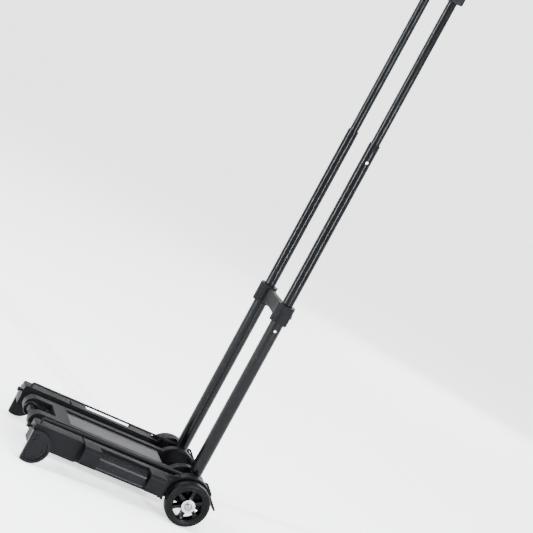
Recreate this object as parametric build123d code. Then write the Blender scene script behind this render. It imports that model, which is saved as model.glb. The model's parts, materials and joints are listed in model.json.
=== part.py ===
from build123d import *
import os
from math import cos, sin, radians

# Folding luggage cart. Millimetres, +Z up. The load platform points along -Y and the handle
# stands up along +Z. Everything is drawn about the point on the floor under the axle, and moved
# at the end so that the origin is under the middle of the whole cart. Left is +X.

# ---------------------------------------------------------------- driving sizes
WHEEL_R = 40.0                 # wheel radius, so the axle is this high above the floor
WHEEL_X = (100.0, 122.0)       # inner and outer face of each wheel
AXLE_D = 8.0
TUBE_X = 62.0                  # tube centre line, left and right of the middle
TUBE_Y = 5.0                   # tube centre line behind the axle
OUTER_D, MID_D, INNER_D = 24.0, 20.0, 16.0
TUBE_WALL = 1.3
TONGUE_X = 47.0                # half width of the middle of the platform
ARM_X = (77.0, 105.0)          # inner and outer face of each side arm at its two ends
WAIST_X = 103.0                # outer face of the arm along the wing
FRONT_Y = -300.0               # front edge of the platform
DECK_Z = 67.0                  # load face of the platform
BELLY_Z = 29.0                 # underside of the platform
CROSSBAR_Z = (384.0, 418.0)    # the crossbar that ties the two outer tubes together
MID_TRAVEL = 312.0             # how far the middle stage slides down
INNER_TRAVEL = 260.0           # how far the handle slides into the middle stage
MID_TOP = CROSSBAR_Z[1] + MID_TRAVEL
GRIP_BOTTOM = MID_TOP + INNER_TRAVEL + 7.0
GRIP_HEIGHT = 50.0
WING_Y = (-209.0, -53.0)       # front and rear end of each wing
WING_WINDOW_Y = (-178.0, -84.0)
WING_SKIN = 3.4
WING_TRAVEL = 15.0             # each wing slides this far in, over the folded tubes
FIT = 0.05                     # running clearance on a radius
GAP = 0.3                      # clearance between parts that only pass each other

AXLE_Z = WHEEL_R
os.makedirs("parts", exist_ok=True)
parts = {}


# ---------------------------------------------------------------- small helpers
def box(x0, x1, y0, y1, z0, z1):
    return Pos((x0 + x1) / 2, (y0 + y1) / 2, (z0 + z1) / 2) * Box(x1 - x0, y1 - y0, z1 - z0)


def rod_x(radius, x0, x1, y=0.0, z=AXLE_Z):
    return Pos((x0 + x1) / 2, y, z) * Rot(0, 90, 0) * Cylinder(radius, x1 - x0)


def rod_y(radius, y0, y1, x, z):
    return Pos(x, (y0 + y1) / 2, z) * Rot(90, 0, 0) * Cylinder(radius, y1 - y0)


def rod_z(radius, z0, z1, x=TUBE_X, y=TUBE_Y):
    return Pos(x, y, (z0 + z1) / 2) * Cylinder(radius, z1 - z0)


def tube_z(outer, inner, z0, z1, x=TUBE_X, y=TUBE_Y):
    return rod_z(outer, z0, z1, x, y) - rod_z(inner, z0 - 1, z1 + 1, x, y)


def side_plate(points, x0, x1):
    """A flat plate across X whose outline is given as (y, z) corners."""
    face = make_face(Polyline(*[(x0, y, z) for y, z in points], close=True))
    return extrude(face, amount=x1 - x0, dir=(1, 0, 0))


def ring_sector(r0, r1, a0, a1, x0, x1):
    """Part of a ring about the axle, from angle a0 to a1 (0 = rear, 90 = up), along X."""
    steps = 8
    reach = r1 * 1.6
    fan = [(0.0, AXLE_Z)]
    for i in range(steps + 1):
        a = radians(a0 + (a1 - a0) * i / steps)
        fan.append((reach * cos(a), AXLE_Z + reach * sin(a)))
    ring = rod_x(r1, x0, x1) - rod_x(r0, x0 - 1, x1 + 1)
    return ring & side_plate(fan, x0 - 2, x1 + 2)


def mirrored(shape):
    return mirror(shape, about=Plane.YZ)


def soften(shape, radius, choose):
    """Round the chosen edges, or the largest part of that radius that the shape allows."""
    for r in (radius, radius * 0.6, radius * 0.35):
        try:
            return fillet(choose(shape), r)
        except Exception:
            continue
    return shape


def add_pair(name, shape):
    parts[name + "_left"] = shape
    parts[name + "_right"] = mirrored(shape)


def add_group(name, shape):
    """The same small piece on both sides, kept as one set."""
    parts[name] = Compound(children=[shape.solid(), mirrored(shape).solid()])


# ---------------------------------------------------------------- axle and wheels
def make_axle():
    rod = rod_x(AXLE_D / 2, -126, 126)
    parts["axle"] = rod
    washer = rod_x(12.0, WHEEL_X[1] + 0.3, WHEEL_X[1] + 1.7) - rod_x(AXLE_D / 2, 90, 130)
    add_group("axle_washers", washer)
    hexagon = [(7.8 * cos(radians(60 * i)), AXLE_Z + 7.8 * sin(radians(60 * i))) for i in range(6)]
    cap = side_plate(hexagon, WHEEL_X[1] + 1.7, WHEEL_X[1] + 4.0)
    dome = rod_x(6.6, WHEEL_X[1] + 3.0, WHEEL_X[1] + 7.0)
    dome = soften(dome, 2.6, lambda s: s.edges().filter_by(GeomType.CIRCLE).group_by(Axis.X)[-1])
    nut = cap + dome - rod_x(AXLE_D / 2, 90, 126)
    add_group("axle_nuts", nut)


def make_wheels():
    x0, x1 = WHEEL_X
    rim_r = 29.0
    tyre = rod_x(WHEEL_R, x0, x1)
    tyre = soften(tyre, 4.5, lambda s: s.edges().filter_by(GeomType.CIRCLE))
    tyre = tyre - rod_x(rim_r, x0 - 1, x1 + 1)
    add_pair("tyre", tyre)
    rim = rod_x(rim_r, x0 + 2, x1 - 2) - rod_x(rim_r - 3.2, x0, x1)
    hub = rod_x(10.5, x0 + 0.5, x1 - 0.3)
    wheel = rim + hub
    for i in range(6):
        spoke = box(x0 + 6, x1 - 4, 8.0, rim_r - 2, AXLE_Z - 3.2, AXLE_Z + 3.2)
        wheel = wheel + spoke.rotate(Axis((0, 0, AXLE_Z), (1, 0, 0)), 60 * i + 30)
    bore = 6.0
    wheel = wheel - rod_x(bore, x0 - 2, x1 + 2)
    add_pair("wheel", wheel)
    bush = rod_x(bore, x0 + 0.5, x1 - 0.3) - rod_x(AXLE_D / 2 + FIT, x0, x1)
    add_pair("wheel_bush", bush)
    spacer = rod_x(7.0, HOOD_X[1] + 0.3, x0 + 0.2) - rod_x(AXLE_D / 2, 80, 130)
    add_group("wheel_spacers", spacer)


# ---------------------------------------------------------------- fixed handle base
def make_tube_brackets():
    """A foot for each outer tube: a block on the axle with a socket above it."""
    half_x = 14.0
    block = box(TUBE_X - half_x, TUBE_X + half_x, -11, 16.6, AXLE_Z - 11, AXLE_Z + 14)
    block = soften(block, 4, lambda s: s.edges().filter_by(Axis.X))
    collar = rod_z(13.6, AXLE_Z + 10, AXLE_Z + 26) & box(40, 90, -30, 17.2, 0, 100)
    block = block + collar
    block = block - rod_z(OUTER_D / 2, AXLE_Z + 8, 200) - rod_x(AXLE_D / 2 + FIT, 30, 95)
    block = block - rod_y(2.0, TUBE_Y + 5, 40, TUBE_X, AXLE_Z + 18)
    add_pair("tube_bracket", block)
    screw = rod_y(2.0, TUBE_Y + OUTER_D / 2 - TUBE_WALL + 0.1, 17.2, TUBE_X, AXLE_Z + 18)
    head = rod_y(3.6, 17.2, 19.2, TUBE_X, AXLE_Z + 18)
    slot = box(TUBE_X - 2.4, TUBE_X + 2.4, 18.3, 20, AXLE_Z + 17.5, AXLE_Z + 18.5)
    add_group("bracket_screws", screw + head - slot)


def make_outer_tubes():
    r = OUTER_D / 2
    tube = tube_z(r, r - TUBE_WALL, AXLE_Z + 12, CROSSBAR_Z[1] - 1)
    socket_hole = rod_y(2.0, TUBE_Y, TUBE_Y + 20, TUBE_X, AXLE_Z + 18)
    lock_hole = rod_x(2.6, TUBE_X, TUBE_X + 20, TUBE_Y, MID_PIN_Z)
    add_pair("outer_tube", tube - socket_hole - lock_hole)
    bush = tube_z(r - TUBE_WALL, MID_D / 2 + FIT, CROSSBAR_Z[1] - 22, CROSSBAR_Z[1])
    add_group("outer_guide_bushes", bush)


def make_crossbar():
    """Two bosses round the tubes, flanged at the sides, and the plate that joins them."""
    z0, z1 = CROSSBAR_Z
    middle = (z0 + z1) / 2
    shape = box(-TUBE_X, TUBE_X, TUBE_Y - 5, TUBE_Y + 5, z0 + 3, z1 - 3)
    arch = rod_y(190, -30, 40, 0, z0 - 183)
    shape = shape - (arch & box(-47, 47, -30, 40, 0, z0 + 12))
    for side in (-1, 1):
        cx = side * TUBE_X
        shape = shape + rod_z(16.5, z0, z1, cx)
        shape = shape + box(cx - 19.5, cx + 19.5, TUBE_Y - 9, TUBE_Y + 9, z0, z1)
    shape = soften(shape, 1.6, lambda s: s.edges().filter_by(Axis.Z))
    for side in (-1, 1):
        shape = shape - rod_z(OUTER_D / 2, z0 - 1, z1 - 1, side * TUBE_X)
        shape = shape - rod_z(OUTER_D / 2 - TUBE_WALL + 0.2, z0, z1 + 1, side * TUBE_X)
        shape = shape - rod_y(2.0, TUBE_Y + 10, TUBE_Y + 30, side * TUBE_X, middle)
    parts["crossbar"] = shape
    screws = []
    for side in (-1, 1):
        cx = side * TUBE_X
        shank = rod_y(2.0, TUBE_Y + 12.2, TUBE_Y + 16.7, cx, middle)
        head = rod_y(3.8, TUBE_Y + 16.7, TUBE_Y + 18.4, cx, middle)
        slot = box(cx - 2.6, cx + 2.6, TUBE_Y + 17.7, TUBE_Y + 19, middle - 0.5, middle + 0.5)
        screws.append(shank + head - slot)
    parts["crossbar_screws"] = Compound(children=screws)


# ---------------------------------------------------------------- telescopic stages
MID_LENGTH = 368.0
MID_PIN_Z = MID_TOP - MID_LENGTH + 7.0
INNER_BOTTOM = MID_TOP - 55.0
INNER_PIN_Z = MID_TOP - 34.0


def lock_plug(radius, z0, z1, pin_z):
    """The plug in the lower end of a stage, bored across for its spring pin."""
    plug = rod_z(radius, z0, z1)
    plug = plug - rod_x(2.5 + FIT, TUBE_X - radius + 2, TUBE_X + 30, TUBE_Y, pin_z)
    return plug


PIN_R = 2.45
PIN_TRAVEL = 2.0
SPRING_ROOM = PIN_TRAVEL + 0.2   # each pin spring is drawn pressed short, as when its pin is in


def pin_reach(bore):
    """How far a flat-ended pin may stand out before its rim meets the bore around it."""
    return (bore ** 2 - PIN_R ** 2) ** 0.5 - 0.1


def make_mid_stage():
    r = MID_D / 2
    bottom = MID_TOP - MID_LENGTH
    tube = tube_z(r, r - TUBE_WALL, bottom, MID_TOP)
    tube = tube - rod_x(2.6, TUBE_X, TUBE_X + 20, TUBE_Y, MID_PIN_Z)
    tube = tube - rod_x(2.6, TUBE_X, TUBE_X + 20, TUBE_Y, INNER_PIN_Z)
    add_pair("mid_tube", tube)
    bush = tube_z(r - TUBE_WALL, INNER_D / 2 + FIT, MID_TOP - 20, MID_TOP)
    add_group("mid_guide_bushes", bush)
    add_pair("mid_lock_plug", lock_plug(r - TUBE_WALL, bottom, bottom + 16, MID_PIN_Z))
    pin_x = TUBE_X + pin_reach(OUTER_D / 2 - TUBE_WALL)
    add_pair("mid_lock_pin", rod_x(PIN_R, pin_x - 9.0, pin_x, TUBE_Y, MID_PIN_Z))
    spring_x = (TUBE_X - r + TUBE_WALL + 2, pin_x - 9.0 - SPRING_ROOM)
    spring = rod_x(2.0, *spring_x, TUBE_Y, MID_PIN_Z) - rod_x(1.2, 40, 80, TUBE_Y, MID_PIN_Z)
    add_group("mid_pin_springs", spring)


def make_inner_stage():
    r = INNER_D / 2
    top = GRIP_BOTTOM + 20
    tube = tube_z(r, r - TUBE_WALL, INNER_BOTTOM, top)
    tube = tube - rod_x(2.6, TUBE_X, TUBE_X + 20, TUBE_Y, INNER_PIN_Z)
    add_pair("inner_tube", tube)
    plug = lock_plug(r - TUBE_WALL, INNER_BOTTOM, INNER_PIN_Z + 8, INNER_PIN_Z)
    add_pair("inner_lock_plug", plug)
    pin_x = TUBE_X + pin_reach(MID_D / 2 - TUBE_WALL)
    add_pair("inner_lock_pin", rod_x(PIN_R, pin_x - 8.0, pin_x, TUBE_Y, INNER_PIN_Z))
    spring_x = (TUBE_X - r + TUBE_WALL + 2, pin_x - 8.0 - SPRING_ROOM)
    spring = rod_x(2.0, *spring_x, TUBE_Y, INNER_PIN_Z) - rod_x(1.2, 40, 80, TUBE_Y, INNER_PIN_Z)
    add_group("inner_pin_springs", spring)


GRIP_X = TUBE_X + 15.0         # outer face of the handle
GRIP_Y = 13.5                  # half thickness of the handle
BUTTON_TRAVEL = 4.0


def grip_outline():
    """The handle's silhouette: an upside-down U with big outer corners."""
    z0 = GRIP_BOTTOM
    z1 = GRIP_BOTTOM + GRIP_HEIGHT
    outer = Pos(0, TUBE_Y, (z0 + z1) / 2) * Box(2 * GRIP_X, 2 * GRIP_Y, z1 - z0)
    outer = fillet(outer.edges().filter_by(Axis.Y).group_by(Axis.Z)[-1], 30)
    palm = box(-GRIP_X + 27, GRIP_X - 27, -30, 40, z0 - 1, z0 + 21)
    palm = fillet(palm.edges().filter_by(Axis.Y).group_by(Axis.Z)[-1], 16)
    return outer - palm


def make_handle():
    z1 = GRIP_BOTTOM + GRIP_HEIGHT
    body = grip_outline()
    body = soften(body, 7.0, lambda s: s.edges().filter_by(lambda e: abs(e.center().Y - TUBE_Y) > 12))
    for side in (-1, 1):
        body = body - rod_z(INNER_D / 2, GRIP_BOTTOM - 1, GRIP_BOTTOM + 20, side * TUBE_X)
        body = body - rod_z(4.2, GRIP_BOTTOM + 19, GRIP_BOTTOM + 34, side * TUBE_X)
        body = body - rod_y(2.0, -20, 30, side * TUBE_X, GRIP_BOTTOM + 9.5)
        body = body - rod_y(4.0, TUBE_Y + 11, 40, side * TUBE_X, GRIP_BOTTOM + 9.5)
    # room for the release bar across the top, and the mouth for the push button
    body = body - box(-TUBE_X - 6, TUBE_X + 6, TUBE_Y - 5.2, TUBE_Y + 5.2, z1 - 21, z1 - 8.4)
    mouth = Pos(0, TUBE_Y, z1 - 12.2) * extrude(SlotOverall(36.8, 14.8), 20)
    body = body - mouth
    seam = body & box(-200, 200, TUBE_Y, 200, 0, 2000)
    parts["handle_shell_rear"] = seam
    parts["handle_shell_front"] = body & box(-200, 200, -200, TUBE_Y, 0, 2000)
    screws = []
    for side in (-1, 1):
        z = GRIP_BOTTOM + 9.5
        shank = rod_y(2.0, TUBE_Y - 12.5, TUBE_Y + 11, side * TUBE_X, z)
        shank = shank - box(-200, 200, TUBE_Y - 9.0, TUBE_Y + 9.0, z - 5, z + 5)
        ends = [s for s in shank.solids() if s.center().Y > TUBE_Y]
        head = rod_y(3.7, TUBE_Y + 11, TUBE_Y + 13.0, side * TUBE_X, z)
        cross = box(side * TUBE_X - 2.4, side * TUBE_X + 2.4, TUBE_Y + 12.2, TUBE_Y + 14, z - 0.5, z + 0.5)
        cross = cross + box(side * TUBE_X - 0.5, side * TUBE_X + 0.5, TUBE_Y + 12.2, TUBE_Y + 14, z - 2.4, z + 2.4)
        screws.append(ends[0] + head - cross)
    parts["handle_screws"] = Compound(children=screws)


def make_release():
    """The push button, the bar below it, the rod down each leg and the return spring."""
    z1 = GRIP_BOTTOM + GRIP_HEIGHT
    button = Pos(0, TUBE_Y, z1 - 7.5) * extrude(SlotOverall(36, 14), 9.5)
    button = soften(button, 2.5, lambda s: s.edges().group_by(Axis.Z)[-1])
    parts["push_button"] = button
    bar = box(-TUBE_X - 4, TUBE_X + 4, TUBE_Y - 4.5, TUBE_Y + 4.5, z1 - 12.5, z1 - 8.5)
    post = rod_z(4.0, z1 - 8.5, z1 - 7.5, 0)
    parts["release_bar"] = bar + post
    bar_low = z1 - 12.5
    add_pair("release_rod", rod_z(2.0, INNER_PIN_Z + 8.0 + BUTTON_TRAVEL + 1, bar_low))
    spring = tube_z(3.4, 2.4, z1 - 21, bar_low, 0)
    parts["button_spring"] = spring


# ---------------------------------------------------------------- platform
RIM_X = (32.0, TONGUE_X)       # the two curved ribs either side of the middle
HOOD_X = (80.5, 98.0)          # the two round hoods inboard of the wheels
HOOD_R = 44.0
RIM_R = 42.0
REAR_PLATE_T = 4.0
REAR_PLATE = ((29.0, 70.0), (56.0, 43.0))   # (y, z) of its top and bottom edge
WING_UNDER = DECK_Z - WING_SKIN
RAIL_Y = (-193.0, -68.5)       # the rails under each wing, in grooves across the arm
RAIL_DEPTH = 5.0
TIE_Y = ((-222, -210), (-140, -128), (-56, -44))


def make_platform_side():
    """The left half of the frame: middle rail, rib, hood and side arm."""
    x0, x1 = RIM_X
    rail = box(34.0, TONGUE_X, -226, -20, BELLY_Z, DECK_Z) - rod_x(RIM_R - 1, x0, x1 + 1)
    rib = ring_sector(RIM_R - 4, RIM_R, 40, 200, x0, x1)
    web = rod_x(RIM_R - 3, x1 - 3, x1) - box(0, 200, -100, 100, -50, AXLE_Z - 12)
    middle = rail + rib + web + rod_x(8.5, x0 + 2, x1)
    h0, h1 = HOOD_X
    hood = ring_sector(HOOD_R - 3, HOOD_R, 25, 200, h0, h1)
    cheek = rod_x(HOOD_R - 1, h0, h0 + 3) - box(0, 200, -100, 100, -50, AXLE_Z - 12)
    gusset = side_plate([(-51, DECK_Z - 1), (-26, DECK_Z - 1), (-26, DECK_Z + 9)], 90, 93)
    hood = hood + cheek + rod_x(8.5, h0, h1 - 0.5) + gusset
    a0, a1 = ARM_X
    nose = box(a0, a1, FRONT_Y, WING_Y[0] - 1.0, BELLY_Z, DECK_Z)
    nose = soften(nose, 4.0, lambda s: s.edges().filter_by(Axis.X))
    heel = box(a0, a1, WING_Y[1] + 1.0, -20, BELLY_Z, DECK_Z)
    heel = heel - box(HOOD_X[1], 140, -WHEEL_R - 2.5, 0, 0, 100)
    heel = heel - rod_x(HOOD_R - 1.5, 0, 200)
    waist = box(a0, WAIST_X, WING_Y[0] - 2, WING_Y[1] + 2, BELLY_Z, WING_UNDER - GAP)
    waist = soften(waist, 5.0, lambda s: s.edges().filter_by(Axis.Y).group_by(Axis.X)[-1])
    for y in RAIL_Y:
        waist = waist - box(0, 200, y - 4.3, y + 4.3, WING_UNDER - RAIL_DEPTH - GAP, 100)
    return middle + hood + nose + heel + waist


def make_platform_frame():
    side = make_platform_side()
    frame = side + mirrored(side)
    half = REAR_PLATE_T / 2 * 0.7071
    (ya, za), (yb, zb) = REAR_PLATE
    outline = [(ya - half, za - half), (ya + half, za + half), (yb + half, zb + half), (yb - half, zb - half)]
    frame = frame + side_plate(outline, -HOOD_X[1], HOOD_X[1])
    frame = frame + box(-35, 35, -226, -40, DECK_Z - 9.0, DECK_Z - 6.0)
    for y0, y1 in TIE_Y:
        frame = frame + box(-ARM_X[0] - 2, ARM_X[0] + 2, y0, y1, BELLY_Z, AXLE_Z + TUBE_Y - 12.6)
    frame = frame - rod_x(AXLE_D / 2 + 2.0, -120, 120)
    for side in (-1, 1):
        hole_x = sorted((side * (ARM_X[1] - 8), side * (ARM_X[1] + 2)))
        frame = frame - rod_x(2.0, *hole_x, FOOT_Y, FOOT_Z + 10)
        frame = frame - rod_z(CORD_D / 2 + 0.3, DECK_Z - 16, DECK_Z + 1, side * CORD_X, CORD_HOLE_Y)
        frame = frame - rod_y(1.8, -229, -222, side * 40.5, 48)
        cord_hole = Pos(side * CORD_REAR_X, *CORD_END) * Rot(-45, 0, 0) * Cylinder(CORD_D / 2 + 0.5, 14)
        frame = frame - cord_hole
    parts["platform_frame"] = frame
    bushes = []
    for x0, x1 in ((-TONGUE_X, -RIM_X[0] - 2), (RIM_X[0] + 2, TONGUE_X),
                   (-HOOD_X[1] + 0.5, -HOOD_X[0]), (HOOD_X[0], HOOD_X[1] - 0.5)):
        bushes.append((rod_x(AXLE_D / 2 + 2.0, x0, x1) - rod_x(AXLE_D / 2 + FIT, -130, 130)).solid())
    parts["platform_bushes"] = Compound(children=bushes)


def make_centre_panel():
    panel = box(-33.6, 33.6, -225.6, -44, DECK_Z - 6.0, DECK_Z - 2.6)
    parts["centre_panel"] = soften(panel, 1.0, lambda s: s.edges().group_by(Axis.Z)[-1])


NOTCH_X = 27.0
NOTCH_Y = -254.0
LOOP_BAR_Y = (-295.0, -287.0)  # the bar at the front edge that the hook hangs on
LOOP_BAR_Z = (46.0, 58.0)


def make_front_plate():
    """The front of the middle: rounded nose, a stepped recess and the hook's hole in it."""
    base = BELLY_Z + 4
    r = (DECK_Z - base) / 2
    plate = box(-TONGUE_X, TONGUE_X, FRONT_Y + r, -226.6, base, DECK_Z)
    plate = plate + rod_x(r, -TONGUE_X, TONGUE_X, FRONT_Y + r, base + r)
    plate = plate - box(-NOTCH_X, NOTCH_X, FRONT_Y - 5, NOTCH_Y, LOOP_BAR_Z[1], DECK_Z + 5)
    plate = plate - box(-NOTCH_X, NOTCH_X, FRONT_Y - 5, LOOP_BAR_Y[0], 0, DECK_Z + 5)
    plate = plate - box(-NOTCH_X, NOTCH_X, FRONT_Y - 5, NOTCH_Y - 4, 0, LOOP_BAR_Z[0])
    plate = plate - box(-TONGUE_X + 4, TONGUE_X - 4, NOTCH_Y, -230, 0, DECK_Z - 13)
    hole_y = (LOOP_BAR_Y[1], NOTCH_Y - 4)
    hole = extrude(RectangleRounded(30, hole_y[1] - hole_y[0], 8), 60)
    plate = plate - Pos(0, sum(hole_y) / 2, 30) * hole
    for side in (-1, 1):
        face_x = sorted((side * (TONGUE_X - 1.2), side * (TONGUE_X + 1)))
        ring = rod_x(10, *face_x, FRONT_Y + r, base + r) - rod_x(7, *face_x, FRONT_Y + r, base + r)
        plate = plate - ring - rod_y(1.8, -229, -222, side * 40.5, 48)
    parts["front_plate"] = plate
    screws = [rod_y(1.8, -229, -222, side * 40.5, 48).solid() for side in (-1, 1)]
    parts["front_plate_screws"] = Compound(children=screws)


def make_wing():
    """The C-shaped wing: a bar beside the tube slot and two straps down the arm's outside."""
    y0, y1 = WING_Y
    inner = ARM_X[0] + GAP
    side = WAIST_X + GAP + WING_TRAVEL
    outer = side + 3.0
    wing = box(inner, outer, y0, y1, 38.5, DECK_Z)
    wing = fillet(wing.edges().filter_by(Axis.Y).group_by(Axis.Z)[-1].group_by(Axis.X)[-1], 7)
    hollow = box(inner - 10, side, y0 - 1, y1 + 1, 20, WING_UNDER)
    hollow = fillet(hollow.edges().filter_by(Axis.Y).group_by(Axis.Z)[-1].group_by(Axis.X)[-1], 4)
    wing = wing - hollow
    wing = wing + box(side, outer + 1.0, y0, y1, 36.0, 39.0)
    for y in RAIL_Y:
        wing = wing + box(inner + 1, ARM_X[0] + 24, y - 4, y + 4, WING_UNDER - RAIL_DEPTH, WING_UNDER + 1)
    wing = wing - box(inner + 14, 150, *WING_WINDOW_Y, 0, 100)
    add_pair("wing", wing)


def make_arm_grip():
    """The rounded cover on the outside of the arm, inside the wing's window."""
    y0 = WING_WINDOW_Y[0] + 1.2
    y1 = WING_WINDOW_Y[1] - 1.2
    grip = box(WAIST_X - 9, WAIST_X + 10, y0, y1, 35, 60)
    grip = soften(grip, 8.0, lambda s: s.edges().filter_by(Axis.Y).group_by(Axis.X)[-1])
    grip = soften(grip, 1.5, lambda s: s.faces().sort_by(Axis.X)[-1].edges())
    add_pair("arm_grip", grip & box(WAIST_X, 200, -400, 0, 0, 100))


FOOT_R = 29.5
FOOT_Y = FRONT_Y + 12.0
FOOT_Z = FOOT_R
FOOT_X = (ARM_X[1], ARM_X[1] + 6.0)


def make_feet():
    """The D-shaped foot on the outside of each arm's front end, with a raised border."""
    x0, x1 = FOOT_X
    keep = box(0, 200, FRONT_Y, 0, 0, 100)
    disc = rod_x(FOOT_R, x0, x1, FOOT_Y, FOOT_Z) & keep
    dish = rod_x(FOOT_R - 4.5, x1 - 2.6, x1 + 1, FOOT_Y, FOOT_Z)
    dish = dish & box(0, 200, FRONT_Y + 4.5, 0, 0, 100)
    foot = disc - dish
    ridge = rod_x(FOOT_R - 9.5, x1 - 2.7, x1 - 1.2, FOOT_Y, FOOT_Z)
    ridge = ridge - rod_x(FOOT_R - 12.0, x0, x1 + 1, FOOT_Y, FOOT_Z)
    ridge = ridge & box(0, 200, FRONT_Y + 8.0, 0, 0, 100)
    foot = foot + ridge
    foot = foot - rod_x(2.0, x0 - 1, x1 + 1, FOOT_Y, FOOT_Z + 10)
    add_pair("foot", foot)
    shank = rod_x(2.0, ARM_X[1] - 7, x1 - 2.6, FOOT_Y, FOOT_Z + 10)
    head = rod_x(4.2, x1 - 2.6, x1 - 0.8, FOOT_Y, FOOT_Z + 10)
    add_group("foot_screws", shank + head)


# ---------------------------------------------------------------- bungee cords and hook
CORD_D = 4.0
CORD_X = 86.0                  # where a cord leaves the arm's front end
CORD_REAR_X = (TUBE_X + OUTER_D / 2 + HOOD_X[0]) / 2
CORD_HOLE_Y = FRONT_Y + 12.0
CORD_END = (42.9, 56.3)        # (y, z) of the hole in the rear plate that a cord ends in


def make_knobs():
    """The knob on each arm's front face that anchors a cord's end."""
    stem = rod_y(2.2, FRONT_Y - 5.0, FRONT_Y, CORD_X, 54)
    cap = rod_y(4.2, FRONT_Y - 9.0, FRONT_Y - 5.0, CORD_X, 54)
    add_pair("cord_knob", stem + soften(cap, 1.2, lambda s: s.edges().filter_by(GeomType.CIRCLE)))


def cord_route(side):
    """Corner points of a cord's centre line: up out of the arm, back, and down the rear plate."""
    offset = (REAR_PLATE_T / 2 + CORD_D / 2 + 0.4) * 0.7071
    line = sum(REAR_PLATE[0]) + 2 * offset
    bend_z = 76.0
    hole_y = CORD_END[0] + offset
    return [(side * CORD_X, CORD_HOLE_Y, DECK_Z - 15.0),
            (side * CORD_X, CORD_HOLE_Y, DECK_Z + 7),
            (side * CORD_REAR_X, line - bend_z, bend_z),
            (side * CORD_REAR_X, hole_y, line - hole_y),
            (side * CORD_REAR_X, hole_y - 8.5, line - hole_y - 8.5)]


def make_cords():
    for name, side in (("left", 1), ("right", -1)):
        path = FilletPolyline(*cord_route(side), radius=3.5)
        start = Plane(path @ 0, z_dir=path % 0)
        tube = sweep(start * Circle(CORD_D / 2), path)
        area = 3.14159265 * CORD_D ** 2 / 4
        print("cord", name, round(path.length, 1), "mm, volume ratio", round(tube.volume / area / path.length, 4))
        parts["cord_" + name] = tube


def make_hook():
    """The open C-shaped hook that hangs on the bar at the platform's front edge."""
    centre_y = sum(LOOP_BAR_Y) / 2
    centre_z = sum(LOOP_BAR_Z) / 2
    arc = CenterArc((0, 0, 0), 10.5, 60, 290)
    ring = sweep(Plane(arc @ 0, z_dir=arc % 0) * Circle(2.6), arc)
    parts["cord_hook"] = Pos(-7.0, centre_y, centre_z) * Rot(0, 90, 0) * ring


make_axle()
make_wheels()
make_tube_brackets()
make_outer_tubes()
make_crossbar()
make_mid_stage()
make_inner_stage()
make_handle()
make_release()
make_platform_frame()
make_centre_panel()
make_front_plate()
make_wing()
make_arm_grip()
make_feet()
make_knobs()
make_cords()
make_hook()

KNOB_FRONT_Y = FRONT_Y - 9.0
TAIL_Y = REAR_PLATE[1][0] + REAR_PLATE_T / 2 * 0.7071
TO_ORIGIN = Pos(0, round(-(KNOB_FRONT_Y + TAIL_Y) / 2, 1), 0)
for name, shape in parts.items():
    solids = [TO_ORIGIN * solid for solid in shape.solids()]
    shape = solids[0] if len(solids) == 1 else Compound(children=solids)
    shape.label = name
    export_step(shape, f"parts/{name}.step")
print(len(parts), "nodes, axle at y =", TO_ORIGIN.position.Y)
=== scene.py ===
import json
from math import cos, pi, radians, sin, tan

import bmesh
import bpy
from mathutils import Matrix, Vector


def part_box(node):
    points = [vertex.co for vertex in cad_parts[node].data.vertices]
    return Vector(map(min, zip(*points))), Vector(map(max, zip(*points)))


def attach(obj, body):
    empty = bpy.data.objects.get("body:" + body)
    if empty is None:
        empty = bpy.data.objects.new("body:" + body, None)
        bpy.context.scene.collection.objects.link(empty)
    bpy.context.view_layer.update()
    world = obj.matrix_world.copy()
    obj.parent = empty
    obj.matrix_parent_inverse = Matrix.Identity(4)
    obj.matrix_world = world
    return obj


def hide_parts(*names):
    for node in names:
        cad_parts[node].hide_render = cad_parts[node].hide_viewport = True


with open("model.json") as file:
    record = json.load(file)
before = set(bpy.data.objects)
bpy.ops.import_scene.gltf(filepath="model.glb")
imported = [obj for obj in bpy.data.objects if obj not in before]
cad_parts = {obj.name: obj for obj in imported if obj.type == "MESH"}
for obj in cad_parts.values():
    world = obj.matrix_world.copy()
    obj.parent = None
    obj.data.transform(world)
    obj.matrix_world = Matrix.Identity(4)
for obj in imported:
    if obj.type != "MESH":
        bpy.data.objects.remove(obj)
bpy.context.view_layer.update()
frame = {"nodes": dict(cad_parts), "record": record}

NODES = frame["nodes"]
MM = 0.001
AXLE_Y = (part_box("axle")[0][1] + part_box("axle")[1][1]) / 2
AXLE_Z = 0.040
SIDES = (("left", 1), ("right", -1))
WHITE = (1, 1, 1)


# ---------------------------------------------------------------- small helpers
def new_object(name, data):
    obj = bpy.data.objects.new(name, data)
    bpy.context.scene.collection.objects.link(obj)
    return obj


def new_material(name):
    material = bpy.data.materials.new(name)
    material.use_nodes = True
    tree = material.node_tree
    return material, tree, tree.nodes["Principled BSDF"]


def node(tree, kind, **inputs):
    """A shader node with some inputs set; an underscore in a name stands for a space."""
    n = tree.nodes.new(kind)
    for key, value in inputs.items():
        n.inputs[key.replace("_", " ")].default_value = value
    return n


def math_node(tree, operation, a, b=None, clamp=False):
    """A math node on numbers or sockets."""
    n = tree.nodes.new("ShaderNodeMath")
    n.operation = operation
    n.use_clamp = clamp
    for i, value in enumerate((a, b)):
        if value is None:
            continue
        if isinstance(value, (int, float)):
            n.inputs[i].default_value = value
        else:
            tree.links.new(value, n.inputs[i])
    return n.outputs[0]


def ramp(tree, value, low, high, out_low, out_high):
    """Map low..high to out_low..out_high, held at both ends."""
    n = node(tree, "ShaderNodeMapRange", From_Min=low, From_Max=high, To_Min=out_low, To_Max=out_high)
    tree.links.new(value, n.inputs["Value"])
    return n.outputs["Result"]


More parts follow.
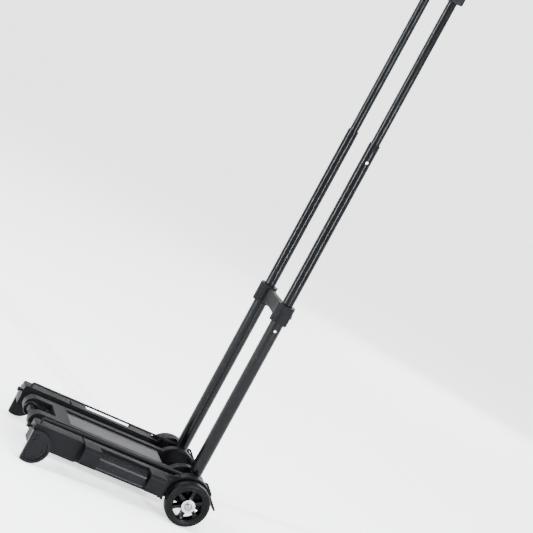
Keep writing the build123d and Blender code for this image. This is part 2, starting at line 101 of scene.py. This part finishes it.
def mix_colors(tree, factor, a, b):
    """Blend from a to b, each a colour or a socket that gives one."""
    n = tree.nodes.new("ShaderNodeMix")
    n.data_type = "RGBA"
    for name, value in (("A", a), ("B", b)):
        if isinstance(value, tuple):
            n.inputs[name].default_value = (*value, 1)
        else:
            tree.links.new(value, n.inputs[name])
    tree.links.new(factor, n.inputs["Factor"])
    return n.outputs["Result"]


def shade(color, factor):
    return tuple(min(1, c * factor) for c in color)


def object_coords(tree):
    return tree.nodes.new("ShaderNodeTexCoord").outputs["Object"]


def noise(tree, coords, scale, detail, roughness=0.55, stretch=None):
    if stretch:
        mapping = node(tree, "ShaderNodeMapping", Scale=stretch)
        tree.links.new(coords, mapping.inputs["Vector"])
        coords = mapping.outputs["Vector"]
    n = node(tree, "ShaderNodeTexNoise", Scale=scale, Detail=detail, Roughness=roughness)
    tree.links.new(coords, n.inputs["Vector"])
    return n.outputs["Fac"]


def bump_from(tree, height, depth):
    bump = node(tree, "ShaderNodeBump", Strength=1.0, Distance=depth)
    tree.links.new(height, bump.inputs["Height"])
    return bump


BEVEL_SAMPLES = 6
EDGE_COSINES = (0.99, 0.86)    # face against rounded normal: where the mask begins and is full


def edge_mask(tree, radius):
    """A mask that is 1 along edges and 0 on flat faces, and the rounded normal it comes from."""
    bevel = node(tree, "ShaderNodeBevel", Radius=radius)
    bevel.samples = BEVEL_SAMPLES
    geometry = tree.nodes.new("ShaderNodeNewGeometry")
    dot = tree.nodes.new("ShaderNodeVectorMath")
    dot.operation = "DOT_PRODUCT"
    tree.links.new(bevel.outputs["Normal"], dot.inputs[0])
    tree.links.new(geometry.outputs["Normal"], dot.inputs[1])
    return ramp(tree, dot.outputs["Value"], *EDGE_COSINES, 0, 1), bevel.outputs["Normal"]


# ---------------------------------------------------------------- materials
TONE_DRIFT = (0.82, 1.22)      # how far a surface's colour drifts below and above its own
BROAD_SCALE = 14.0             # noise scales: dust and sheen in broad patches,
BLOTCH_SCALE = 55.0            # tone and scuffs in smaller ones,
STREAK_SCALE = 220.0           # and drawn lines in metal
FINE_ROUGHNESS = 0.03          # how far the fine grain changes the roughness either way
MIN_ROUGHNESS = 0.04


def surface(name, color, roughness, metallic=0.0, grain=900.0, grain_depth=0.00004, spread=0.08,
            wear=0.25, wear_color=(0.018, 0.018, 0.019), edge=0.0006, specular=0.05, dust=0.0,
            streaks=None):
    """A moulded, painted or turned surface: grain, uneven sheen, worn edges and a little dust.

    grain is the noise scale of the surface's texture, edge the radius that wear follows (0 = none),
    and streaks the stretch of drawn or turned lines in the metal.
    """
    material, tree, shader = new_material(name)
    shader.inputs["Metallic"].default_value = metallic
    shader.inputs["Specular IOR Level"].default_value = specular
    coords = object_coords(tree)
    broad = noise(tree, coords, BROAD_SCALE, 4.0)
    fine = noise(tree, coords, grain, 2.0)
    blotch = noise(tree, coords, BLOTCH_SCALE, 5.0, 0.65)

    # colour: slow tonal drift, then wear and dust over it
    low, high = TONE_DRIFT
    drift = mix_colors(tree, ramp(tree, blotch, 0.3, 0.7, 0, 1), shade(color, low), shade(color, high))
    bump = bump_from(tree, fine, grain_depth)
    if edge:
        mask, rounded = edge_mask(tree, edge)
        scuffs = math_node(tree, "MULTIPLY", mask, ramp(tree, blotch, 0.35, 0.75, 0.15, 1.0))
        tree.links.new(rounded, bump.inputs["Normal"])
    else:
        scuffs = ramp(tree, blotch, 0.62, 0.75, 0.0, 0.3)
    amount = math_node(tree, "MULTIPLY", scuffs, wear, clamp=True)
    if dust:
        upward = tree.nodes.new("ShaderNodeSeparateXYZ")
        tree.links.new(tree.nodes.new("ShaderNodeNewGeometry").outputs["Normal"], upward.inputs[0])
        settled = math_node(tree, "MULTIPLY", ramp(tree, upward.outputs["Z"], 0.3, 1.0, 0, 1),
                            ramp(tree, broad, 0.4, 0.7, 0, dust))
        amount = math_node(tree, "ADD", amount, settled, clamp=True)
    tree.links.new(mix_colors(tree, amount, drift, wear_color), shader.inputs["Base Color"])

    # roughness: broad patches, fine grain and drawn lines
    patches = ramp(tree, broad, 0.25, 0.75, roughness - spread, roughness + spread)
    rough = math_node(tree, "ADD", patches, ramp(tree, fine, 0.2, 0.8, -FINE_ROUGHNESS, FINE_ROUGHNESS))
    if streaks:
        lines = noise(tree, coords, STREAK_SCALE, 3.0, 0.5, stretch=streaks)
        rough = math_node(tree, "ADD", rough, ramp(tree, lines, 0.3, 0.7, -0.05, 0.09))
    tree.links.new(math_node(tree, "MAXIMUM", rough, MIN_ROUGHNESS), shader.inputs["Roughness"])
    tree.links.new(bump.outputs["Normal"], shader.inputs["Normal"])
    return material


PLAITS = 12                    # strands round the cord, half of them each way
PITCH = 0.006                  # length of one weave along the cord
FUZZ_SCALE = 2500.0
FUZZ = 0.6                     # height of the fuzz against that of a strand
BRAID_DEPTH = 0.12 * MM


def braid(name, color):
    """Woven elastic cord: two families of strands crossing over and under, a little fuzzy."""
    material, tree, shader = new_material(name)
    shader.inputs["Roughness"].default_value = 0.72
    shader.inputs["Specular IOR Level"].default_value = 0.12
    shader.inputs["Sheen Weight"].default_value = 0.02
    shader.inputs["Sheen Roughness"].default_value = 0.5
    uv = tree.nodes.new("ShaderNodeSeparateXYZ")
    tree.links.new(tree.nodes.new("ShaderNodeUVMap").outputs["UV"], uv.inputs[0])
    along = math_node(tree, "MULTIPLY", uv.outputs["Y"], 2 * pi)
    strands = []
    for sign in (1, -1):
        across = math_node(tree, "MULTIPLY", uv.outputs["X"], sign * pi * PLAITS)
        strands.append(math_node(tree, "SINE", math_node(tree, "ADD", across, along)))
    height = math_node(tree, "MAXIMUM", *strands)
    fuzz = noise(tree, object_coords(tree), FUZZ_SCALE, 2.0)
    height = math_node(tree, "ADD", height, math_node(tree, "MULTIPLY", fuzz, FUZZ))
    # colour follows the weave's height: painted shade in the hollows between strands, painted highlight
    # on their crowns and on the fuzz
    painted_weave_shade = mix_colors(tree, ramp(tree, height, -0.2, 1.4, 0, 1), shade(color, 0.6), shade(color, 1.6))
    tree.links.new(painted_weave_shade, shader.inputs["Base Color"])
    bump = bump_from(tree, height, BRAID_DEPTH)
    tree.links.new(bump.outputs["Normal"], shader.inputs["Normal"])
    return material


BLACK = (0.0026, 0.0026, 0.0031)
MATERIALS = {
    "frame_black": surface("moulded black plastic", BLACK, 0.50, grain=1400, grain_depth=0.00003,
                           spread=0.07, wear=0.35, dust=0.004),
    "handle_black": surface("handle plastic", BLACK, 0.40, grain=1600, grain_depth=0.00003, wear=0.3),
    "button_black": surface("button plastic", (0.0034, 0.0034, 0.0038), 0.34, grain=1200,
                            grain_depth=0.00002),
    "panel_gloss": surface("polished black plastic", (0.003, 0.003, 0.0034), 0.30, grain=500,
                           grain_depth=0.000002, spread=0.05, wear=0.2, dust=0.003, specular=0.08),
    "tube_black": surface("black enamelled tube", (0.0009, 0.0010, 0.0013), 0.12, grain=420,
                          grain_depth=0.0000002, spread=0.03, wear=0.5,
                          wear_color=(0.05, 0.05, 0.052), edge=0.0, specular=0.11),
    "wheel_gloss": surface("wheel plastic", (0.0014, 0.0014, 0.0016), 0.20, grain=600,
                           grain_depth=0.000002, spread=0.06, wear=0.3, dust=0.003, specular=0.08),
    "tyre_black": surface("tyre rubber", (0.002, 0.002, 0.002), 0.40, grain=1100,
                          grain_depth=0.00003, wear=0.5, wear_color=(0.012, 0.012, 0.012),
                          dust=0.006),
    "bush_black": surface("bush plastic", (0.005, 0.005, 0.005), 0.4),
    "axle_steel": surface("zinc plated steel", (0.32, 0.32, 0.33), 0.28, metallic=1.0, grain=800,
                          grain_depth=0.000004, wear=0.3, wear_color=(0.8, 0.8, 0.8),
                          streaks=(0.04, 1, 1)),
    "nut_chrome": surface("bright plated steel", (0.15, 0.15, 0.155), 0.12, metallic=1.0, grain=500,
                          grain_depth=0.000002, wear=0.6, wear_color=(0.6, 0.6, 0.6)),
    "screw_steel": surface("blackened screw", (0.10, 0.10, 0.105), 0.34, metallic=1.0,
                           grain_depth=0.000005, wear=0.7, wear_color=(0.35, 0.35, 0.35)),
    "pin_steel": surface("pin steel", (0.34, 0.34, 0.34), 0.24, metallic=1.0, grain=700,
                         grain_depth=0.000004, wear_color=(0.8, 0.8, 0.8)),
    "cord_black": braid("braided cord", (0.004, 0.004, 0.0045)),
    "hook_black": surface("hook plastic", (0.002, 0.002, 0.0022), 0.24, grain=700,
                          grain_depth=0.000004),
}
SATIN = surface("satin black plastic", BLACK, 0.30, grain_depth=0.00001, spread=0.07, wear=0.35,
                dust=0.003, specular=0.07)
SATIN_NODES = ("arm_grip_left", "arm_grip_right", "foot_left", "foot_right", "cord_knob_left",
               "cord_knob_right", "foot_screws")

for part in frame["record"]["subparts"]:
    materials = NODES[part["node"]].data.materials
    materials.clear()
    materials.append(SATIN if part["node"] in SATIN_NODES else MATERIALS[part["material_slot"]])


# ---------------------------------------------------------------- elastic cords
CORD_RADIUS = 2.0 * MM
CORD_BEND = 3.5 * MM           # radius of the centre line at each bend
CORD_STEP = 0.9 * MM           # longest step between two rings of the mesh
BEND_STEPS = 10
CORD_SIDES = 32
SWELL = 0.02                   # how much a strand stands out, as a share of the radius


def rounded_route(corners, radius):
    """The corners of a polyline joined by straight runs and tangent arcs, as close points."""
    route = [corners[0]]
    for before, corner, after in zip(corners, corners[1:], corners[2:]):
        a = (before - corner).normalized()
        b = (after - corner).normalized()
        half = a.angle(b) / 2
        reach = radius / tan(half)
        centre = corner + (a + b).normalized() * (radius / sin(half))
        start = corner + a * reach - centre
        end = corner + b * reach - centre
        turn = start.angle(end)
        for i in range(BEND_STEPS + 1):
            t = i / BEND_STEPS
            route.append(centre + (start * sin((1 - t) * turn) + end * sin(t * turn)) / sin(turn))
    route.append(corners[-1])
    return route


def resample(route, step):
    """The route with points added, so that none are further apart than about one step."""
    points = [route[0]]
    for a, b in zip(route, route[1:]):
        count = max(1, round((b - a).length / step))
        points += [a.lerp(b, i / count) for i in range(1, count + 1)]
    return points


def braided_tube(name, points, radius):
    """A tube along the points whose surface swells where the braid's strands lie."""
    last = len(points) - 1
    tangents = [(points[min(i + 1, last)] - points[max(i - 1, 0)]).normalized() for i in range(last + 1)]
    normal = tangents[0].orthogonal().normalized()
    along = 0.0
    vertices = []
    lengths = []
    for i, point in enumerate(points):
        if i:
            along += (point - points[i - 1]).length
            normal = tangents[i - 1].rotation_difference(tangents[i]) @ normal
        lengths.append(along)
        side = tangents[i].cross(normal)
        for k in range(CORD_SIDES):
            angle = 2 * pi * k / CORD_SIDES
            across = PLAITS / 2 * angle
            wave = 2 * pi * along / PITCH
            r = radius * (1 - SWELL + SWELL * max(sin(across + wave), sin(across - wave)))
            vertices.append(point + (normal * cos(angle) + side * sin(angle)) * r)
    faces = []
    for i in range(last):
        for k in range(CORD_SIDES):
            a = i * CORD_SIDES + k
            b = i * CORD_SIDES + (k + 1) % CORD_SIDES
            faces.append((a, b, b + CORD_SIDES, a + CORD_SIDES))
    faces.append(tuple(reversed(range(CORD_SIDES))))
    faces.append(tuple(range(last * CORD_SIDES, (last + 1) * CORD_SIDES)))
    mesh = bpy.data.meshes.new(name)
    mesh.from_pydata(vertices, [], faces)
    layer = mesh.uv_layers.new(name="UVMap")
    for polygon in mesh.polygons:
        places = [mesh.loops[loop].vertex_index % CORD_SIDES for loop in polygon.loop_indices]
        at_seam = CORD_SIDES - 1 in places
        for loop, k in zip(polygon.loop_indices, places):
            ring = mesh.loops[loop].vertex_index // CORD_SIDES
            if k == 0 and at_seam:
                k = CORD_SIDES
            layer.data[loop].uv = (k / CORD_SIDES, lengths[ring] / PITCH)
        polygon.use_smooth = True
    mesh.validate()
    return new_object(name, mesh)


# The cords' route in millimetres, about the floor point under the axle
DECK = 67.0                    # load face of the platform
HOLE_DEPTH = 15.0              # how far a cord's front end goes down into its arm
CORD_RISE = 7.0                # how high it stands above the deck before it turns back
CORD_FRONT = (86.0, -288.0)    # (x, y) of the hole in the arm
CORD_REAR_X = 77.25
CORD_TURN_Z = 76.0
CORD_TAIL = 8.5                # how far the rear end goes into the plate, along y and along z
REAR_PLATE_SUM = 99.0          # y + z all over the sloping middle face of the rear plate
REAR_HOLE_Y = 42.9
STAND_OFF = 4.4 * 0.7071       # y and z from that face out to the cord's centre line


def cord_corners(side):
    line = REAR_PLATE_SUM + 2 * STAND_OFF
    end_y = REAR_HOLE_Y + STAND_OFF
    end_z = line - end_y
    plan = [(*CORD_FRONT, DECK - HOLE_DEPTH),
            (*CORD_FRONT, DECK + CORD_RISE),
            (CORD_REAR_X, line - CORD_TURN_Z, CORD_TURN_Z),
            (CORD_REAR_X, end_y, end_z),
            (CORD_REAR_X, end_y - CORD_TAIL, end_z - CORD_TAIL)]
    return [Vector((side * x * MM, AXLE_Y + y * MM, z * MM)) for x, y, z in plan]


for name, side in SIDES:
    points = resample(rounded_route(cord_corners(side), CORD_BEND), CORD_STEP)
    cord = braided_tube("braided_cord_" + name, points, CORD_RADIUS)
    cord.data.materials.append(MATERIALS["cord_black"])
    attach(cord, "platform")
    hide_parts("cord_" + name)


# ---------------------------------------------------------------- wheels and tyres
# Outlines are (x, radius) pairs in millimetres, for the left side; the right side mirrors them.
TYRE_R = 40.0
GROOVE_R = 39.2
RIM_R = 28.95
BORE_R = 6.05
HUB_R = 10.5
SPOKES = 6
SPOKE_X = (104.5, 118.5)
# distance from the axle, half width, and how far the spoke's faces draw in
SPOKE_STATIONS = ((HUB_R - 2, 5.2, 0.0), (13, 4.1, 0.6), (19, 3.2, 1.4), (24, 3.4, 1.0),
                  (RIM_R - 2, 4.8, 0.0))
SPOKE_TAPER = 0.82             # the outer face of a spoke is this much narrower
LATHE_STEPS = 96
SHARP = radians(34)            # an edge that turns more than this stays sharp or is bevelled
WHEEL_BEVEL = 0.7 * MM
TYRE_OUTLINE = [(101.6, 29.0), (100.9, 30.6), (100.3, 32.6), (100.75, 33.0), (100.75, 33.6),
                (100.1, 34.0), (100.0, 35.6), (100.5, 37.4), (101.8, 38.9), (103.8, 39.7),
                (106.2, 39.95), (106.7, GROOVE_R), (107.4, GROOVE_R), (107.9, TYRE_R),
                (114.1, TYRE_R), (114.6, GROOVE_R), (115.3, GROOVE_R), (115.8, 39.95),
                (118.2, 39.7), (120.2, 38.9), (121.5, 37.4), (122.0, 35.6), (121.9, 34.0),
                (121.25, 33.6), (121.25, 33.0), (121.7, 32.6), (121.1, 30.6), (120.4, 29.0)]
RIM_OUTLINE = [(102.0, RIM_R), (102.0, 27.6), (102.8, 26.6), (105.0, 26.0), (117.0, 26.0),
               (118.8, 26.5), (119.6, 27.4), (120.2, 28.0), (120.2, RIM_R)]
HUB_OUTLINE = [(100.6, BORE_R), (100.6, 9.0), (101.6, 10.0), (105.0, HUB_R), (115.0, HUB_R),
               (119.0, 11.6), (121.0, 11.6), (121.6, 11.0), (121.6, BORE_R)]


def lathe(profile):
    """Vertices and faces of a closed outline turned about the axle."""
    n = len(profile)
    vertices = []
    faces = []
    for k in range(LATHE_STEPS):
        angle = 2 * pi * k / LATHE_STEPS
        vertices += [(x, r * cos(angle), r * sin(angle)) for x, r in profile]
        here = k * n
        there = (k + 1) % LATHE_STEPS * n
        for i in range(n):
            j = (i + 1) % n
            faces.append((here + i, here + j, there + j, there + i))
    return vertices, faces


def spoke(angle):
    """A tapered spoke with a narrow waist, from hub to rim."""
    vertices = []
    for r, half, inset in SPOKE_STATIONS:
        for x, w in ((SPOKE_X[0] + inset, half), (SPOKE_X[1] - inset, half * SPOKE_TAPER)):
            for t in (-w, w):
                vertices.append((x, r * cos(angle) - t * sin(angle), r * sin(angle) + t * cos(angle)))
    faces = [(0, 1, 3, 2)]
    end = 4 * (len(SPOKE_STATIONS) - 1)
    for a in range(0, end, 4):
        faces += [(a, a + 4, a + 5, a + 1), (a + 1, a + 5, a + 7, a + 3),
                  (a + 3, a + 7, a + 6, a + 2), (a + 2, a + 6, a + 4, a)]
    faces.append((end, end + 2, end + 3, end + 1))
    return vertices, faces


def merged(name, pieces, side, bevel=0.0):
    """One object on the axle from several pieces, smooth except at its sharp edges."""
    axle = Vector((0, AXLE_Y, AXLE_Z))
    vertices = []
    faces = []
    for piece_vertices, piece_faces in pieces:
        start = len(vertices)
        vertices += [Vector((side * x, y, z)) * MM + axle for x, y, z in piece_vertices]
        faces += [tuple(start + i for i in face) for face in piece_faces]
    mesh = bpy.data.meshes.new(name)
    mesh.from_pydata(vertices, [], faces)
    work = bmesh.new()
    work.from_mesh(mesh)
    bmesh.ops.recalc_face_normals(work, faces=work.faces)
    work.to_mesh(mesh)
    work.free()
    mesh.shade_smooth()
    mesh.set_sharp_from_angle(angle=SHARP)
    obj = new_object(name, mesh)
    if bevel:
        rounding = obj.modifiers.new("rounding", "BEVEL")
        rounding.width = bevel
        rounding.segments = 3
        rounding.limit_method = "ANGLE"
        rounding.angle_limit = SHARP
        rounding.harden_normals = True
    return obj


for name, side in SIDES:
    tyre = merged("moulded_tyre_" + name, [lathe(TYRE_OUTLINE)], side)
    tyre.data.materials.append(MATERIALS["tyre_black"])
    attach(tyre, "wheel_assembly_" + name)
    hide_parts("tyre_" + name)
    pieces = [lathe(RIM_OUTLINE), lathe(HUB_OUTLINE)]
    pieces += [spoke(2 * pi * (i + 0.5) / SPOKES) for i in range(SPOKES)]
    wheel = merged("spoked_wheel_" + name, pieces, side, bevel=WHEEL_BEVEL)
    wheel.data.materials.append(MATERIALS["wheel_gloss"])
    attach(wheel, "wheel_assembly_" + name)
    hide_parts("wheel_" + name)


# ---------------------------------------------------------------- studio
BOWL_CENTRE_R = 0.5            # first ring round the middle of the floor
BOWL_FLOOR_R = 5.0             # where the floor begins to curve up
BOWL_CURVE = 5.0
BOWL_TOP = 9.0
BOWL_SIDES = 96
BOWL_STEPS = 24
FLOOR_Z = -0.5 * MM            # just under the wheels
PAPER = 0.93
PAPER_GLOW = 0.9


def studio():
    """A pale floor that curves up into a wall all the way round."""
    profile = [(BOWL_CENTRE_R, 0.0)]
    for i in range(BOWL_STEPS + 1):
        a = radians(90 * i / BOWL_STEPS)
        profile.append((BOWL_FLOOR_R + BOWL_CURVE * sin(a), BOWL_CURVE - BOWL_CURVE * cos(a)))
    profile.append((BOWL_FLOOR_R + BOWL_CURVE, BOWL_TOP))
    n = len(profile)
    vertices = [(0, 0, FLOOR_Z)]
    faces = []
    for k in range(BOWL_SIDES):
        angle = 2 * pi * k / BOWL_SIDES
        vertices += [(r * cos(angle), r * sin(angle), z + FLOOR_Z) for r, z in profile]
        here = 1 + k * n
        there = 1 + (k + 1) % BOWL_SIDES * n
        faces.append((0, here, there))
        faces += [(here + i, here + i + 1, there + i + 1, there + i) for i in range(n - 1)]
    mesh = bpy.data.meshes.new("bowl")
    mesh.from_pydata(vertices, [], faces)
    mesh.shade_smooth()
    material, _, shader = new_material("pale paper")
    shader.inputs["Base Color"].default_value = (PAPER, PAPER, PAPER, 1)
    shader.inputs["Roughness"].default_value = 0.9
    shader.inputs["Emission Color"].default_value = (*WHITE, 1)
    shader.inputs["Emission Strength"].default_value = PAPER_GLOW
    mesh.materials.append(material)
    new_object("studio_bowl", mesh)


def around(azimuth, distance, height):
    """A place round the axle; azimuth 0 is in front of the platform, 90 on the cart's left."""
    a = radians(azimuth)
    return (distance * sin(a), AXLE_Y - distance * cos(a), height)


def softbox(name, place, target, size, power, color):
    light = bpy.data.lights.new(name, "AREA")
    light.color = color
    light.shape = "RECTANGLE"
    light.size, light.size_y = size
    light.energy = power
    obj = new_object(name, light)
    obj.location = place
    obj.rotation_euler = (Vector(target) - Vector(place)).to_track_quat("-Z", "Y").to_euler()


def sky(strength):
    world = bpy.data.worlds.new("studio")
    world.use_nodes = True
    background = world.node_tree.nodes["Background"]
    background.inputs["Color"].default_value = (*WHITE, 1)
    background.inputs["Strength"].default_value = strength
    bpy.context.scene.world = world


SKY_STRENGTH = 0.85
COOL = (0.86, 0.94, 1.0)
TUBES = (0, AXLE_Y, 0.5)       # what the upright strips point at
# name, (azimuth, distance, height), (width, height of the box), power in watts, colour
STRIPS = (("left strip", (12, 2.6, 1.0), (0.12, 2.6), 260, COOL),
          ("right strip", (106, 2.9, 1.1), (0.10, 2.6), 260, COOL),
          ("rear strip", (235, 2.6, 1.2), (0.9, 2.0), 28, WHITE))

studio()
sky(SKY_STRENGTH)
for name, place, size, power, color in STRIPS:
    softbox(name, around(*place), TUBES, size, power, color)
softbox("top", place=(0.2, 0.2, 3.2), target=(0, 0, 0.3), size=(2.8, 2.8), power=150, color=WHITE)


# ---------------------------------------------------------------- camera
AZIMUTH = radians(70.22)
ELEVATION = radians(7.73)
ROLL = radians(28.54)
DISTANCE = 2.7448
TARGET = Vector((0, AXLE_Y - 0.060, 0.300))
OFFSET = (0.09047, 0.12522)    # sideways and upward step in the picture's own directions
SENSOR = 36
FOCAL_SHARE = 2.955            # focal length over the picture's width
FAR_CLIP = 50


def camera():
    back = Vector((sin(AZIMUTH) * cos(ELEVATION), -cos(AZIMUTH) * cos(ELEVATION), sin(ELEVATION)))
    level = Vector((cos(AZIMUTH), sin(AZIMUTH), 0))
    upright = back.cross(level)
    right = level * cos(ROLL) + upright * sin(ROLL)
    up = upright * cos(ROLL) - level * sin(ROLL)
    data = bpy.data.cameras.new("camera")
    data.sensor_width = SENSOR
    data.lens = SENSOR * FOCAL_SHARE
    data.clip_end = FAR_CLIP
    obj = new_object("camera", data)
    place = TARGET + right * OFFSET[0] + up * OFFSET[1] + back * DISTANCE
    turn = Matrix((right, up, back)).transposed().to_4x4()
    obj.matrix_world = Matrix.Translation(place) @ turn
    bpy.context.scene.camera = obj


camera()
